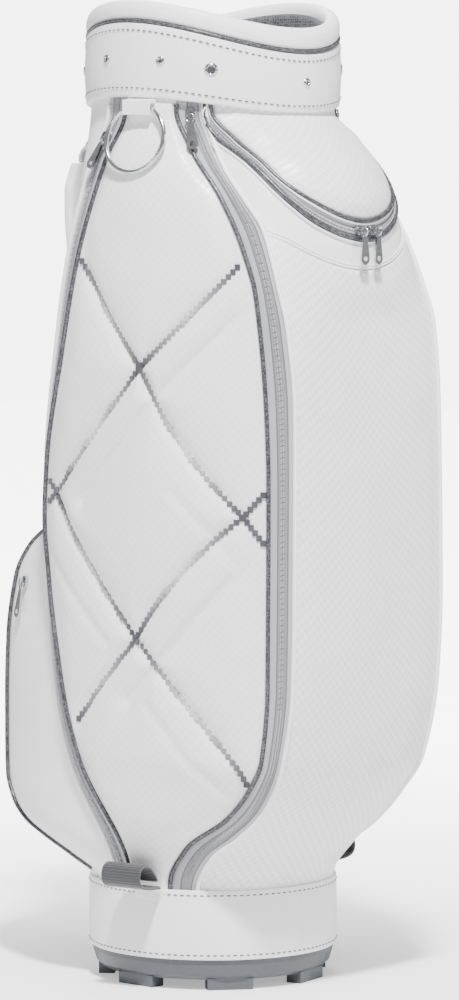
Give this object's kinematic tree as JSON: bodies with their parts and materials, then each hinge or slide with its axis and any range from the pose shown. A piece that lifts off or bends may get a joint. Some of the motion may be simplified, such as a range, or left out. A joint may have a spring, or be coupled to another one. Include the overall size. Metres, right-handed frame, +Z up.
{
  "type": "golf bag",
  "caption": "Upright golf bag with a round moulded base, a sewn body with full-height zipped pockets, a padded collar with dividers, a shoulder strap and a towel ring.",
  "frame": {"origin": "on the vertical axis of the round base, at the undersides of the feet", "axes": "+Z up out of the mouth, -Y out of the front panel, +X to the right of someone facing the front"},
  "size_m": [0.2888, 0.374, 0.8522],
  "materials": {
    "chrome": "polished",
    "divider_cloth": "woven",
    "embossed_leather": "embossed fine check",
    "lining_mesh": "mesh",
    "moulded_grey": "satin",
    "quilted_leather": "quilted, stitched",
    "silver_piping": "glitter coated",
    "tube_plastic": "satin",
    "webbing": "woven",
    "white_leather": "smooth coated",
    "zip_tape": "woven tape"
  },
  "bodies": {
    "bag": {"back_piping": "silver_piping", "back_pocket_panel": "white_leather", "back_wall_left": "white_leather", "back_wall_right": "white_leather", "base_band": "white_leather", "base_cup": "moulded_grey", "body_tube": "tube_plastic", "collar_band": "white_leather", "collar_frame": "moulded_grey", "collar_piping": "silver_piping", "divider_cloths": "divider_cloth", "divider_grid": "divider_cloth", "front_panel": "embossed_leather", "front_zip_left": "zip_tape", "front_zip_right": "zip_tape", "grab_handle": "webbing", "grip_loop_back": "webbing", "grip_loop_left": "webbing", "grip_loop_right": "webbing", "handle_grip": "white_leather", "hood_studs": "chrome", "mouth_lining": "lining_mesh", "rear_zip_left": "zip_tape", "rear_zip_right": "zip_tape", "rim_roll": "white_leather", "side_panel_left": "quilted_leather", "side_panel_right": "quilted_leather", "side_piping_left": "silver_piping", "side_piping_right": "silver_piping", "spine_panel": "white_leather", "strap_tab_lower": "white_leather", "strap_tab_upper": "white_leather", "towel_tab": "white_leather", "upper_pocket_panel": "white_leather", "upper_zip": "zip_tape", "yoke_panel": "white_leather"},
    "pull_back_left": {"pull_back_left": "chrome"},
    "pull_back_right": {"pull_back_right": "chrome"},
    "pull_front_left": {"pull_front_left": "chrome"},
    "pull_front_right": {"pull_front_right": "chrome"},
    "pull_rear_left": {"pull_rear_left": "chrome"},
    "pull_rear_right": {"pull_rear_right": "chrome"},
    "pull_upper_left": {"pull_upper_left": "chrome"},
    "pull_upper_right": {"pull_upper_right": "chrome"},
    "shoulder_strap": {"shoulder_pad": "white_leather", "strap_ring_lower": "chrome", "strap_ring_upper": "chrome", "strap_webbing_lower": "webbing", "strap_webbing_upper": "webbing"},
    "slider_back_left": {"slider_back_left": "chrome"},
    "slider_back_right": {"slider_back_right": "chrome"},
    "slider_front_left": {"slider_front_left": "chrome"},
    "slider_front_right": {"slider_front_right": "chrome"},
    "slider_rear_left": {"slider_rear_left": "chrome"},
    "slider_rear_right": {"slider_rear_right": "chrome"},
    "slider_upper_left": {"slider_upper_left": "chrome"},
    "slider_upper_right": {"slider_upper_right": "chrome"},
    "towel_ring": {"towel_ring": "chrome"}
  },
  "joints": [
    {"name": "towel_ring_hinge", "type": "hinge", "parent": "bag", "child": "towel_ring", "pos_m": [-0.11079, -0.01954, 0.75894], "axis": [-0.1736, 0.9848, 0], "range_deg": [0, 45]},
    {"name": "slider_upper_right_travel", "type": "hinge", "parent": "bag", "child": "slider_upper_right", "pos_m": [-0.00062, -0.1321, 0.71315], "axis": [-0.0085, -0.7854, 0.619], "range_deg": [0, 28.58]},
    {"name": "pull_upper_right_hinge", "type": "hinge", "parent": "slider_upper_right", "child": "pull_upper_right", "pos_m": [0.00846, -0.18487, 0.65547], "axis": [-0.9979, -0.0653, 0], "range_deg": [0, 60]},
    {"name": "slider_upper_left_travel", "type": "hinge", "parent": "bag", "child": "slider_upper_left", "pos_m": [0.00062, -0.1321, 0.71315], "axis": [-0.0085, 0.7854, -0.619], "range_deg": [0, 28.58]},
    {"name": "pull_upper_left_hinge", "type": "hinge", "parent": "slider_upper_left", "child": "pull_upper_left", "pos_m": [-0.00846, -0.18487, 0.65547], "axis": [-0.9979, 0.0653, 0], "range_deg": [0, 60]},
    {"name": "slider_front_right_travel", "type": "hinge", "parent": "bag", "child": "slider_front_right", "pos_m": [0.13918, -0.15283, 0.78391], "axis": [-0.8869, -0.4131, 0.207], "range_deg": [0, 18.02]},
    {"name": "pull_front_right_hinge", "type": "hinge", "parent": "slider_front_right", "child": "pull_front_right", "pos_m": [0.09183, -0.06054, 0.75329], "axis": [-0.5617, -0.8143, 0.1463], "range_deg": [0, 58.2]},
    {"name": "slider_rear_right_travel", "type": "hinge", "parent": "bag", "child": "slider_rear_right", "pos_m": [-0.0098, -0.10272, 0.64403], "axis": [-0.7489, 0.6581, 0.0772], "range_deg": [0, 13.67]},
    {"name": "pull_rear_right_hinge", "type": "hinge", "parent": "slider_rear_right", "child": "pull_rear_right", "pos_m": [0.11205, 0.02103, 0.73468], "axis": [0.273, -0.9141, -0.2999], "range_deg": [0, 68.9]},
    {"name": "slider_back_right_travel", "type": "hinge", "parent": "bag", "child": "slider_back_right", "pos_m": [-0.20029, -0.15585, 0.2718], "axis": [-0.7029, 0.7032, -0.107], "range_deg": [0, 7.8]},
    {"name": "pull_back_right_hinge", "type": "hinge", "parent": "slider_back_right", "child": "pull_back_right", "pos_m": [0.09288, 0.14454, 0.34098], "axis": [0.3283, -0.9446, 0.0006], "range_deg": [0, 70]},
    {"name": "slider_front_left_travel", "type": "hinge", "parent": "bag", "child": "slider_front_left", "pos_m": [-0.13918, -0.15283, 0.78391], "axis": [-0.8869, 0.4131, -0.207], "range_deg": [0, 18.02]},
    {"name": "pull_front_left_hinge", "type": "hinge", "parent": "slider_front_left", "child": "pull_front_left", "pos_m": [-0.09183, -0.06054, 0.75329], "axis": [-0.5617, 0.8143, -0.1463], "range_deg": [0, 58.2]},
    {"name": "slider_rear_left_travel", "type": "hinge", "parent": "bag", "child": "slider_rear_left", "pos_m": [0.0098, -0.10272, 0.64403], "axis": [-0.7489, -0.6581, -0.0772], "range_deg": [0, 13.67]},
    {"name": "pull_rear_left_hinge", "type": "hinge", "parent": "slider_rear_left", "child": "pull_rear_left", "pos_m": [-0.11205, 0.02103, 0.73468], "axis": [0.273, 0.9141, 0.2999], "range_deg": [0, 68.9]},
    {"name": "slider_back_left_travel", "type": "hinge", "parent": "bag", "child": "slider_back_left", "pos_m": [0.20029, -0.15585, 0.2718], "axis": [-0.7029, -0.7032, 0.107], "range_deg": [0, 7.8]},
    {"name": "pull_back_left_hinge", "type": "hinge", "parent": "slider_back_left", "child": "pull_back_left", "pos_m": [-0.09288, 0.14454, 0.34098], "axis": [0.3283, 0.9446, -0.0006], "range_deg": [0, 70]},
    {"name": "shoulder_strap_swing", "type": "hinge", "parent": "bag", "child": "shoulder_strap", "pos_m": [-0.012, 0.114, 0.65], "axis": [0, 0, 1], "range_deg": [-8, 8]}
  ]
}
